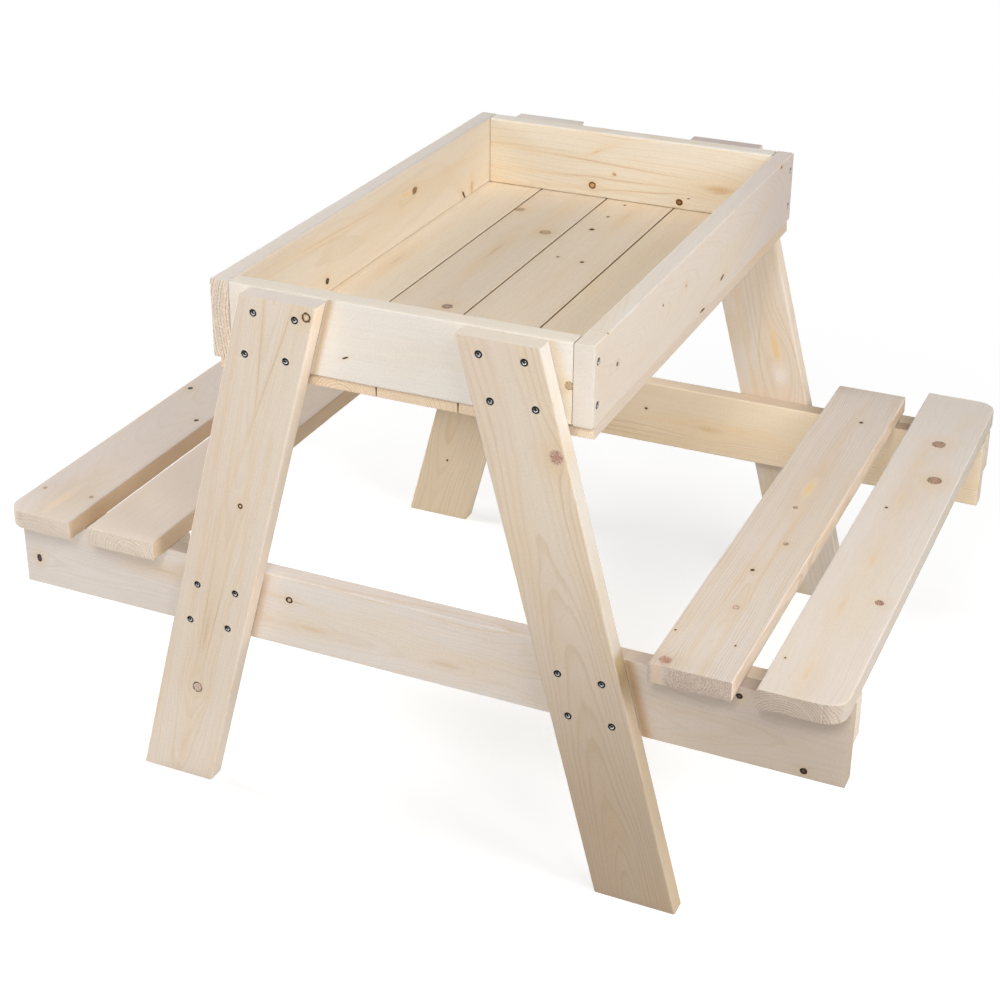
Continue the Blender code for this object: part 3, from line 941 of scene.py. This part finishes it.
# Painted light on the left side's narrow faces.
make_board(
    "box_side_left", Y, Z, "pine_box", holes=SIDE_SCREWS["box_side_left"], edge=BOX_EDGE,
    heart=(0.0, 0.15), lean=(0.0, 0.004), ring=0.0026, wander=0.006, ripple=0.001, lines=0.3,
    bands=0.3, flank=(1.02, 1.07, 1.21), tint=(0.95, 0.935, 0.89), end_tint=(1.24, 1.22, 1.2),
    speckle=0.9, end_rings=1.0,
    knots=((0.065, 0.012, 0.005, "amber"), (0.085, 0.0107, 0.0036, "oval"),
        (-0.09, 0.0195, 0.0017, "grain", -0.04), (-0.11, 0.015, 0.001, "grain", -0.03),
        (0.2363, -0.0324, 0.0085, "resin"), (0.214, -0.0335, 0.0016, "slash", -0.6),
        (-0.1191, -0.0264, 0.0034, "black")))
# Painted shade on the right side, darker towards its back end, and painted light on its narrow
# faces.
make_board(
    "box_side_right", Y, Z, "pine_box", holes=SIDE_SCREWS["box_side_right"], edge=BOX_EDGE,
    heart=(0.004, -0.04), lean=(0.0, -0.14), ring=0.0024, wander=0.016, ripple=0.004, lines=0.26,
    bands=0.15, speckle=0.1, end_rings=0.12, tint=(0.83, 0.815, 0.815), end_tint=(1.22, 1.26, 1.31),
    flank=(1.16, 1.2, 1.25), aged=((0.05, 0.26, (0.9, 0.89, 0.92)),),
    flank_aged=((0.1, 0.26, (1.08, 1.06, 1.05)),),
    knots=((-0.2751, 0.04, 0.001, "pin"), (-0.2509, 0.0008, 0.0022, "pin"),
        (0.2597, 0.037, 0.0022, "oval"), (-0.0628, 0.0099, 0.0028, "pink"),
        (0.0564, -0.0233, 0.0019, "slash", 0.2), (-0.1301, 0.0134, 0.0014, "pin"),
        (-0.0059, -0.038, 0.0022, "slash")))

# %% [markdown]
# The sandbox ends fit between the sides. The legs' upper screws pass into them.

# %% The sandbox ends
# Painted light and shade on the narrow faces, and painted shadows beside the two front legs.
make_board(
    "box_end_front", X, Z, "pine_box", holes=holes_of(("front", "_box_")),
    short_holes=end_floor_screws("front"), edge=BOX_EDGE, heart=(-0.09, -0.04), lean=(0.05, 0.0),
    ring=0.003, wander=0.012, lines=0.07, bands=0.05, drift=0.25, tint=(1.155, 1.2, 1.255),
    flank=(0.86, 0.84, 0.8), beside=((-0.077, 0.2635, 0.008, (0.78, 0.66, 0.49)),
        (0.164, -0.2635, 0.01, (0.97, 0.9, 0.78))),
    knots=((0.1716, -0.0017, 0.0045, "tan"), (-0.052, -0.016, 0.001, "slash", 0.4)))
# Painted light and shade on the narrow faces, and a painted shade line in the inner corner at the
# left end.
make_board(
    "box_end_back", X, Z, "pine_box", holes=holes_of(("back", "_box_")),
    short_holes=end_floor_screws("back"), edge=BOX_EDGE, heart=(-0.05, -0.01), lean=(-0.03, 0.0),
    ring=0.0042, wander=0.026, lines=0.34, bands=0.4, tint=(1.125, 1.15, 1.13),
    flank=(0.94, 0.96, 1.03), aged=((-0.1737, -0.1749, (0.5, 0.36, 0.24)),),
    knots=((-0.0413, -0.0259, 0.0042, "orange"), (0.0677, -0.0314, 0.004, "ember"),
        (0.079, -0.027, 0.0006, "slash", 0.35), (0.115, -0.009, 0.006, "amber", 0.05),
        (0.12, -0.01, 0.0024, "flame", 0.08), (-0.02, 0.003, 0.0014, "grain", -0.05),
        (-0.02, -0.016, 0.0012, "grain", 0.02), (0.03, -0.025, 0.0011, "grain", 0.06),
        (-0.014, -0.0085, 0.0022, "tan"), (-0.037, 0.016, 0.002, "amber", 0.45)))

# %% [markdown]
# Five thin boards make the sandbox's floor, with the narrow one at the right. Their softened,
# tapered edges leave a fine dark groove at each joint: painted shade darkens the boards' narrow
# faces in the grooves and the top edge of each sawn end under the sandbox's ends.

# %% The sandbox floor
FLOOR_EDGE = 0.0007
FLOOR_TAPER = 0.0006
FLOOR_WOOD = (
    dict(heart=(0.03, -0.02), ring=0.0028, lines=0.2, bands=0.4, tint=(1.15, 1.13, 1.065),
        knots=((0.0, 0.006, 0.004, "patch"),)),
    dict(heart=(-0.004, -0.018), ring=0.003, lines=0.14, bands=0.35, tint=(1.12, 1.08, 1.02),
        knots=((0.2098, 0.036, 0.0062, "tan"), (0.1496, -0.0218, 0.007, "tan"),
            (-0.0986, -0.0177, 0.0058, "brown"), (0.072, 0.006, 0.004, "flame"))),
    dict(heart=(0.02, -0.016), ring=0.0024, lines=0.2, bands=0.25, tint=(1.12, 1.07, 0.99),
        knots=((0.229, 0.017, 0.0018, "pin"), (0.181, 0.018, 0.003, "black"),
            (0.0785, -0.011, 0.0024, "black"), (0.0825, 0.019, 0.0016, "pin"),
            (0.276, 0.014, 0.0018, "pin"), (0.24, -0.002, 0.004, "patch"))),
    dict(heart=(-0.02, -0.02), ring=0.0026, lines=0.18, bands=0.3, tint=(1.15, 1.1, 1.0)),
    dict(heart=(0.06, -0.02), ring=0.0022, lines=0.16, bands=0.25, tint=(1.16, 1.09, 0.93),
        flank=(0.66, 0.65, 0.72), end_tint=(1.38, 1.3, 1.2),
        knots=((0.23, -0.015, 0.007, "amber"),)),
)
# The dark narrow faces and the dark top edge of the ends are painted shade in the grooves.
for number, wood in enumerate(FLOOR_WOOD, start=1):
    make_board("floor_board_" + str(number), Y, -X, "pine_floor", edge=FLOOR_EDGE,
               taper=FLOOR_TAPER, short_holes=FLOOR_SCREWS[number], wander=0.014, joint=0.8,
               **{"flank": (0.38, 0.28, 0.19), "end_tint": (1.38, 1.24, 1.06), **wood})

# %% [markdown]
# The legs are boards leaned over, with both ends sawn level. The camera sees the outer faces of
# the front pair and the inner faces of the back pair.

# %% The legs
# Painted shade where each leg's back edge lies against the sandbox and the rail.
LEG_PAINTED_SEAM_SHADE = ((-0.110, -0.022), (0.205, 0.310))
# Painted light and shade along the legs: the front right leg darker towards its foot, with a
# painted shadow on its narrow face just below the rail, and the front left leg lighter there.
LEG_WOOD = {
    "leg_front_left": dict(heart=(0.002, -0.014), lean=(0.0, 0.036), ring=0.0023, lines=0.34,
        bands=0.7, calm=0.8, painted_seam_shade=LEG_PAINTED_SEAM_SHADE, aged=((-0.14, -0.24, (1.05, 1.06, 1.08)),),
        flank_aged=((-0.16, -0.28, (1.07, 1.09, 1.14)),), tint=(1.07, 1.025, 0.99),
        end_tint=(1.06, 1.07, 1.14), ripple=0.0022,
        knots=((0.2885, -0.0323, 0.0047, "ring"), (0.0618, -0.007, 0.0028, "eye"),
            (-0.1727, -0.0023, 0.0056, "outline"), (0.235, 0.006, 0.0012, "grain", 0.12),
            (0.235, -0.011, 0.0012, "grain", -0.12), (-0.08, 0.006, 0.0012, "grain", 0.03),
            (-0.08, -0.006, 0.0012, "grain", -0.03), (-0.1, 0.001, 0.0045, "flame"))),
    "leg_front_right": dict(heart=(0.002, -0.018), lean=(0.0, -0.056), bow=(0.0, 0.12), ring=0.0034,
        lines=0.5, bands=0.3, tint=(1.01, 0.96, 0.91), ripple=0.002,
        lined=((-0.012, -0.024, 0.15),), calm=0.8, painted_seam_shade=LEG_PAINTED_SEAM_SHADE, end_tint=(1.09, 1.1, 1.1),
        flank=(0.875, 0.955, 1.06), aged=((0.16, -0.22, (0.66, 0.61, 0.55)),),
        flank_aged=((0.06, -0.12, (1.25, 1.22, 1.18)), (-0.018, -0.03, (0.7, 0.6, 0.42)),
            (-0.045, -0.09, (1.4, 1.55, 1.95))),
        knots=((0.1785, -0.0306, 0.0078, "pink"),)),
    "leg_back_left": dict(heart=(0.012, -0.014), lean=(0.0, 0.03), ring=0.0028, lines=0.5,
        bands=0.35, tint=(1.18, 1.1, 0.95), end_tint=(1.08, 1.13, 1.23),
        knots=((-0.2071, 0.007, 0.0014, "pin"), (-0.13, 0.006, 0.0012, "pin"))),
    "leg_back_right": dict(heart=(0.03, -0.014), lean=(0.03, 0.0), ring=0.006, lines=0.45,
        bands=0.6, tint=(0.99, 0.985, 1.0), end_tint=(0.87, 0.84, 0.92),
        lined=((-0.03, -0.038, 0.35),),
        knots=((0.04, -0.015, 0.009, "amber"), (0.005, -0.0145, 0.011, "pith"),
            (0.03, -0.002, 0.0016, "grain", -0.1), (0.03, -0.029, 0.0016, "grain", 0.06))),
}


def leg_axes(leg):
    """Along the leg upwards, and the direction across it with the thickness facing front."""
    along = Vector((leg_lean(leg), 0.0, 1.0)).normalized()
    return along, (-Y).cross(along)


for leg, wood in LEG_WOOD.items():
    up, across = leg_axes(leg)
    make_board(leg, up, across, "pine_leg", holes=holes_of((leg,)), level_ends=True,
               wander=0.010, end_rings=0.1, speckle=0.08, **wood)

# %% [markdown]
# A rail crosses each pair of legs on the inside, and carries the seats.

# %% The rails
# The front rail has painted shade towards its right end, under the seats, painted shadows beside
# the front legs and a painted shadow patch by the right leg, and painted light on its narrow faces.
make_board(
    "rail_front", X, Z, "pine_rail",
    holes=holes_of(("front", "_rail_")) + cleat_face_screws("front"), heart=(-0.012, -0.018),
    lean=(0.0, -0.03), ring=0.0026, wander=0.016, ripple=0.0026, lines=0.26, bands=0.55,
    tint=(1.075, 1.09, 1.15), flank=(0.82, 0.82, 0.84), aged=((0.05, 0.42, (0.7, 0.65, 0.6)),),
    flank_aged=((0.15, 0.42, (1.17, 1.15, 1.15)),),
    beside=((-0.1583, 0.2635, 0.007, (0.95, 0.84, 0.72)),
        (0.245, -0.2635, 0.012, (0.82, 0.67, 0.48))),
    knots=((-0.12, 0.0145, 0.0009, "crack", -0.12), (-0.4294, -0.009, 0.0052, "upright"),
        (-0.124, 0.0148, 0.0036, "eye"), (0.3439, 0.0306, 0.003, "black"),
        (0.4083, -0.032, 0.0033, "black"), (-0.1, -0.013, 0.0052, "patch"),
        (0.05, -0.015, 0.005, "patch"), (-0.27, 0.013, 0.004, "patch"),
        (0.229, 0.026, 0.02, "painted_shadow")))
# Painted shade on the back rail's narrow faces, darker towards its right end.
make_board(
    "rail_back", X, Z, "pine_rail", holes=holes_of(("back", "_rail_")) + cleat_face_screws("back"),
    heart=(-0.008, -0.004), lean=(0.0, 0.012), ring=0.0026, wander=0.012, lines=0.18, bands=0.3,
    lined=((-0.01, -0.02, 0.5),), tint=(1.13, 1.05, 0.91), flank=(0.95, 0.95, 0.98),
    flank_aged=((0.0, 0.2, (0.68, 0.66, 0.66)),),
    knots=((0.0376, 0.0054, 0.0016, "pin"), (0.118, -0.0075, 0.006, "amber"),
        (0.0, -0.018, 0.001, "grain"), (0.0, -0.026, 0.0012, "grain", 0.01),
        (0.0, -0.032, 0.001, "grain")))

# %% [markdown]
# A cleat lies beside each rail end, under the seats.

# %% The cleats
for facing in ("front", "back"):
    for side in ("left", "right"):
        make_board(cleat_name(facing, side), X, Z, "pine_cleat", heart=(0.020, 0.030),
                   holes=cleat_face_screws(facing, side), deep_holes=seat_screws(facing, side),
                   ring=0.0030, lines=0.30, tint=(0.99, 0.96, 0.91))

# %% [markdown]
# Each seat is two boards with a gap between them. The outer board has two round outer corners.

# %% The seats
SEAT_CORNER = 0.020
# The seats' narrow-face tints are painted light and shade from bounced light.
SEAT_FLANK_PAINTED_LIGHT = (0.99, 0.90, 0.74)
make_board(
    "seat_right_inner", Y, -X, "pine_seat", heart=(-0.001, 0.001), ring=0.0024, wander=0.012,
    ripple=0.002, lines=0.45, bands=0.35, speckle=0.65, flank=(1.18, 1.1, 1.0),
    lined=((0.01, 0.02, 0.55), (-0.012, -0.024, 0.45)), tint=(0.915, 0.915, 0.96),
    end_tint=(0.86, 0.8, 0.79), deep_holes=seat_screws_of("right", 0),
    knots=((0.2432, -0.0094, 0.0024, "black"), (0.0107, 0.0015, 0.0028, "brown"),
        (-0.0694, -0.0116, 0.003, "brown"), (-0.1339, 0.0034, 0.0022, "pin"),
        (-0.2088, -0.0037, 0.003, "outline"), (-0.2708, 0.0355, 0.0011, "pin"),
        (-0.2741, -0.0237, 0.0011, "pin"), (-0.3233, 0.0269, 0.0072, "pink"),
        (0.058, 0.0, 0.007, "amber"), (-0.17, 0.01, 0.0012, "grain", -0.02),
        (-0.11, -0.008, 0.0012, "grain", 0.01), (-0.3345, 0.029, 0.0046, "smear")))
make_board(
    "seat_right_outer", Y, -X, "pine_seat", corner=SEAT_CORNER, corner_side=-1,
    heart=(0.014, -0.016), lean=(0.0, 0.02), ring=0.0026, wander=0.014, ripple=0.0024, lines=0.12,
    bands=0.15, lined=((-0.016, -0.028, 0.25),), speckle=0.65, tint=(0.985, 0.995, 1.045),
    end_tint=(0.84, 0.8, 0.79), flank=(0.73, 0.72, 0.7), end_rings=0.8,
    deep_holes=seat_screws_of("right", 1),
    knots=((0.2116, -0.0009, 0.0078, "burl"), (0.1214, -0.0155, 0.0082, "burl"),
        (-0.1558, -0.0235, 0.0046, "burl"), (0.0386, 0.0168, 0.0018, "pin"),
        (-0.2867, 0.031, 0.0012, "pin"), (-0.3, 0.006, 0.006, "patch"),
        (-0.075, 0.002, 0.007, "patch"), (-0.175, 0.007, 0.007, "patch"),
        (0.065, 0.007, 0.005, "patch"), (0.15, 0.009, 0.0045, "patch")))
make_board(
    "seat_left_outer", Y, -X, "pine_seat", corner=SEAT_CORNER, corner_side=1, heart=(0.0, -0.03),
    lean=(0.0, 0.11), ring=0.003, wander=0.014, ripple=0.003, lines=0.18, bands=0.1, speckle=0.35,
    tint=(0.88, 0.872, 0.917), flank=SEAT_FLANK_PAINTED_LIGHT, end_tint=(1.17, 1.15, 1.15),
    deep_holes=seat_screws_of("left", 1),
    knots=((-0.0097, 0.0284, 0.003, "black"), (-0.0824, -0.0259, 0.0026, "black"),
        (-0.2918, 0.0293, 0.0022, "brown"), (-0.289, -0.0275, 0.0024, "brown"),
        (-0.305, -0.002, 0.007, "patch")))
make_board(
    "seat_left_inner", Y, -X, "pine_seat", heart=(-0.01, -0.016), lean=(0.0, -0.012), ring=0.0032,
    wander=0.012, lines=0.1, bands=0.1, speckle=0.35, flank=SEAT_FLANK_PAINTED_LIGHT, tint=(0.895, 0.86, 0.865),
    end_tint=(1.21, 1.19, 1.18), deep_holes=seat_screws_of("left", 0))

# %% [markdown]
# A wood screw is one closed surface: the head's top with its cross recess, the countersunk cone,
# the thread and the point. The recess and the thread are only changes of the depth and of the
# radius, written as functions of the angle.

# %% The shape of a screw
SCREW_SIDES = 40
HEAD_RINGS = (0.0003, 0.0006, 0.0008, 0.0010, 0.0013, 0.0016, 0.0018, 0.0020, 0.0022, 0.0025,
              0.0027, 0.0029, 0.0032, 0.0034, HEAD_RADIUS)
RECESS_ARM = 0.0018
RECESS_HALF_WIDTH = 0.00046
RECESS_DEPTH = 0.0015
THREAD_PITCH = 0.0016
THREAD_HEIGHT = 0.00035
THREAD_STEPS = 3
POINT_LENGTH = 0.004
RIM_DROP = 0.00025
RECESS_SOFT = 0.0001
# The side of each head that gets the painted highlight.
PAINTED_HIGHLIGHT_SIDE = (0.60, -0.30, -0.75)


def step_up(value, low, high):
    """0 below low, 1 above high, and an even S curve between them."""
    share = np.clip((value - low) / (high - low), 0.0, 1.0)
    return share * share * (3 - 2 * share)


def screw_surface(head, outward, length, turn):
    """Points and painted highlight of rings from the head's middle, over its rim and down to the
    point.

    Recess: the top sinks where |x| or |y| is less than an arm's half width, and less far out.
    Thread: the shank swells where depth / pitch minus the turned share is near a whole number.
    Painted highlight: the narrow flat ring round the recess, most on the side that looks at the
    light.
    """
    top = np.array(HEAD_RINGS)
    shank = np.arange(HEAD_HEIGHT, length - POINT_LENGTH, THREAD_PITCH / THREAD_STEPS)
    radius = np.concatenate([top, [HEAD_RADIUS], np.full(shank.size, SHANK_RADIUS - THREAD_HEIGHT),
                             [SHANK_RADIUS / 2]])
    depth = np.concatenate([RIM_DROP * step_up(top, 0.0024, HEAD_RADIUS), [HEAD_LAND + 0.0001],
                            shank, [length - POINT_LENGTH / 2]])
    angle = np.arange(SCREW_SIDES) / SCREW_SIDES * 2 * pi
    r, a = np.meshgrid(radius, angle, indexing="ij")
    d = depth[:, None] + np.zeros_like(a)
    near = np.minimum(np.abs(r * np.cos(a)), np.abs(r * np.sin(a)))
    cross = 1 - step_up(near, RECESS_HALF_WIDTH - RECESS_SOFT, RECESS_HALF_WIDTH + RECESS_SOFT)
    cross = cross * (1 - step_up(r, RECESS_ARM - RECESS_SOFT, RECESS_ARM + RECESS_SOFT))
    on_top = (np.arange(radius.size) < top.size)[:, None]
    facing = np.array(outward.to_track_quat("Z", "Y").to_matrix())
    aside = np.stack([np.cos(a + turn), np.sin(a + turn), np.zeros_like(a)], axis=-1) @ facing.T
    # The painted highlight is strongest on the side towards the lamps.
    lit = np.clip(0.60 + 0.55 * aside @ np.array(PAINTED_HIGHLIGHT_SIDE), 0.0, 1.0)
    painted_highlight = on_top * (1 - cross) * (1 - step_up(r, 0.0019, 0.0023)) * lit
    d = d + on_top * cross * RECESS_DEPTH * (1 - 0.5 * r / RECESS_ARM)
    turned = d / THREAD_PITCH - a / (2 * pi)
    ridge = np.clip(1 - 3 * np.abs(turned - np.round(turned)), 0.0, 1.0)
    ridge = ridge * (d > 2 * HEAD_HEIGHT) * (d < length - POINT_LENGTH / 2)
    smooth_neck = (d > 0.99 * HEAD_HEIGHT) * (d <= 2 * HEAD_HEIGHT)
    r = r + THREAD_HEIGHT * (ridge + smooth_neck)
    rings = np.stack([r * np.cos(a + turn), r * np.sin(a + turn), -d], axis=-1).reshape(-1, 3)
    ends = [(0.0, 0.0, -RECESS_DEPTH), (0.0, 0.0, -length)]
    points = np.concatenate([rings, ends]) @ facing.T + np.array(head)
    return points, np.append(painted_highlight.ravel(), [0.0, 0.0]), r.shape[0]


def screw_faces(rows):
    """Quads between the rings, and a fan of triangles at each end."""
    index = np.arange(rows * SCREW_SIDES).reshape(rows, SCREW_SIDES)
    following = np.roll(index, -1, axis=1)
    quads = np.stack([index[:-1], index[1:], following[1:], following[:-1]], axis=-1)
    middle = np.full(SCREW_SIDES, index.size)
    fans = np.concatenate([np.stack([middle, index[0], following[0]], axis=-1),
                           np.stack([following[-1], index[-1], middle + 1], axis=-1)])
    return quads.reshape(-1, 4), fans


print("One screw has", len(screw_surface(Vector(), Z, SCREW_LENGTH, 0.0)[0]), "points")

# %% [markdown]
# The plating is thin and a little uneven. The head's light and shade are painted: its rim and
# recess keep a dark base colour as painted shade, and the ring between them gets a painted
# highlight, strongest on the side towards the lamps. The screw's own attribute says where, and
# noise breaks it up.


# %% Plated steel
# The dark steel is painted shade on the head, the bright steel a painted highlight.
PAINTED_SHADE_STEEL = (0.010, 0.0105, 0.012)
PAINTED_HIGHLIGHT_STEEL = (0.86, 0.89, 0.92)
SCREW_CREASE = radians(40)


def make_plated_steel():
    made, g, shader = new_material("plated_steel")
    place = g.node("ShaderNodeTexCoord").outputs["Object"]
    slow = g.noise(place, (700.0, 700.0, 700.0))
    quick = g.noise(place, (3500.0, 3500.0, 3500.0))
    painted_highlight = g.node("ShaderNodeAttribute", attribute_name="painted_highlight").outputs["Fac"]
    bright = g.times(painted_highlight, g.smooth(slow, 0.35, 0.60, 0.45, 1.0))
    g.fill(shader.inputs, {"Base Color": g.mix(bright, opaque(PAINTED_SHADE_STEEL), opaque(PAINTED_HIGHLIGHT_STEEL)),
                           "Roughness": g.line(quick, 0.30, 0.20), "Metallic": 1.0})
    return made


STEEL = make_plated_steel()


def make_screw(name, screws, length, nodes=()):
    """One piece of one or more screws, each a (head, outward direction)."""
    points = []
    painted_highlights = []
    faces = []
    for number, (head, outward) in enumerate(screws):
        turn = (sum(head) * 977.0 + number * 1.1) % (pi / 2)
        block, bright, rows = screw_surface(head, outward, length, turn)
        start = sum(len(other) for other in points)
        for part in screw_faces(rows):
            faces += (part + start).tolist()
        points.append(block)
        painted_highlights.append(bright)
    piece = add_mesh(name, np.concatenate(points), faces)
    make_outward(piece)
    painted_highlight = piece.data.attributes.new("painted_highlight", "FLOAT", "POINT")
    painted_highlight.data.foreach_set("value", np.concatenate(painted_highlights))
    piece.data.shade_smooth()
    piece.data.set_sharp_from_angle(angle=SCREW_CREASE)
    piece.data.materials.append(STEEL)
    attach(piece, BODY)
    if nodes:
        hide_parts(*nodes)


for name, place in LEG_SCREWS.items():
    make_screw(name + "_finished", [place], SCREW_LENGTH, [name])
print(len(LEG_SCREWS), "leg screws finished")

# %% [markdown]
# The screws that the frame has no nodes for: two through each end of each sandbox side.

# %% The sandbox's corner screws
for node, places in SIDE_SCREWS.items():
    for number, place in enumerate(places, start=1):
        make_screw(node + "_corner_screw_" + str(number), [place], SCREW_LENGTH)
print("Corner screws finished")

# %% [markdown]
# The hidden screws are the same turned surface. Each row of them that holds one board or cleat
# is one piece, because they are bought, driven and looked at together.

# %% The hidden screws
for number, places in FLOOR_SCREWS.items():
    make_screw("floor_board_" + str(number) + "_screws", places, FLOOR_SCREW_LENGTH)
for facing in ("front", "back"):
    for side in ("left", "right"):
        cleat = cleat_name(facing, side)
        make_screw(cleat + "_seat_screws", seat_screws(facing, side), SEAT_SCREW_LENGTH)
        make_screw(cleat + "_rail_screws", cleat_face_screws(facing, side), SCREW_LENGTH)
print("Hidden screws finished")

# %% [markdown]
# The floor of the studio is pale and the world is white to the camera. A large soft light stands
# at each side of the table and two smaller ones high in front of it. Two weak ones stand low and
# light the narrow faces of the legs. Far from the table the studio floor turns into plain white,
# so that it has no visible edge. Each light is its place, the point it looks at, size and power.

# %% The studio
FLOOR_REACH = 7.0
FLOOR_GREY = (0.50, 0.50, 0.50, 1.0)
FLOOR_LIFT = 0.62
FLOOR_FADE = (0.55, 1.25)
WORLD_STRENGTH = 0.18
LIGHTS = {
    "right_light": ((1.9, -0.4, 1.5), (0.1, 0.0, 0.4), 1.0, 25.5),
    "left_light": ((-2.2, 0.0, 1.2), (0.0, 0.0, 0.4), 1.0, 43.7),
    "low_light": ((-0.6, -1.75, 0.35), (-0.1, -0.3, 0.3), 1.0, 5.9),
    "low_right_light": ((1.7, -0.7, 0.25), (0.0, -0.2, 0.3), 0.8, 6.0),
    "front_light": ((0.5, -2.0, 2.0), (0.0, -0.1, 0.4), 0.6, 16.4),
    "high_light": ((1.5, -1.6, 2.2), (0.0, -0.1, 0.4), 0.6, 9.8),
}


def seen_directly(g):
    """1 for rays from the camera, from a mirror or through glass, and 0 for the light's own."""
    path = g.node("ShaderNodeLightPath").outputs
    seen = g.larger(path["Is Camera Ray"], path["Is Glossy Ray"])
    return g.larger(seen, path["Is Transmission Ray"])


def make_floor():
    mesh = bpy.data.meshes.new("studio_floor")
    r = FLOOR_REACH
    mesh.from_pydata([(-r, -r, 0), (r, -r, 0), (r, r, 0), (-r, r, 0)], [], [(0, 1, 2, 3)])
    floor = bpy.data.objects.new("studio_floor", mesh)
    bpy.context.scene.collection.objects.link(floor)
    made, g, shader = new_material("studio_floor")
    made.node_tree.nodes.remove(shader)
    output = made.node_tree.nodes["Material Output"]
    pale = g.node("ShaderNodeBsdfDiffuse", {"Color": FLOOR_GREY}).outputs[0]
    white, lift = [g.node("ShaderNodeEmission", {"Color": opaque(WHITE), "Strength": strength})
                   .outputs[0] for strength in (1.0, FLOOR_LIFT)]
    place = g.node("ShaderNodeTexCoord").outputs["Object"]
    far = g.smooth(g.vector("LENGTH", place), *FLOOR_FADE)
    seen = seen_directly(g)
    shown = g.node("ShaderNodeAddShader", {0: pale, 1: lift}).outputs[0]
    shown = g.node("ShaderNodeMixShader", {0: far, 1: shown, 2: white}).outputs[0]
    both = g.node("ShaderNodeMixShader", {0: seen, 1: pale, 2: shown}).outputs[0]
    g.feed(output.inputs["Surface"], both)
    mesh.materials.append(made)


def make_world(strength):
    world = bpy.data.worlds.new("studio")
    bpy.context.scene.world = world
    world.use_nodes = True
    g = Graph(world.node_tree)
    background = world.node_tree.nodes["Background"]
    g.fill(background.inputs, {"Color": opaque(WHITE),
                               "Strength": g.line(seen_directly(g), 1.0 - strength, strength)})


def make_light(name, place, aim, size, power):
    light = bpy.data.lights.new(name, "AREA")
    light.shape = "DISK"
    light.size = size
    light.energy = power
    holder = bpy.data.objects.new(name, light)
    holder.location = place
    holder.rotation_euler = (Vector(aim) - Vector(place)).to_track_quat("-Z", "Y").to_euler()
    bpy.context.scene.collection.objects.link(holder)


make_floor()
make_world(WORLD_STRENGTH)
for name, settings in LIGHTS.items():
    make_light(name, *settings)
bpy.context.scene.view_settings.view_transform = "Standard"
print("Studio ready")
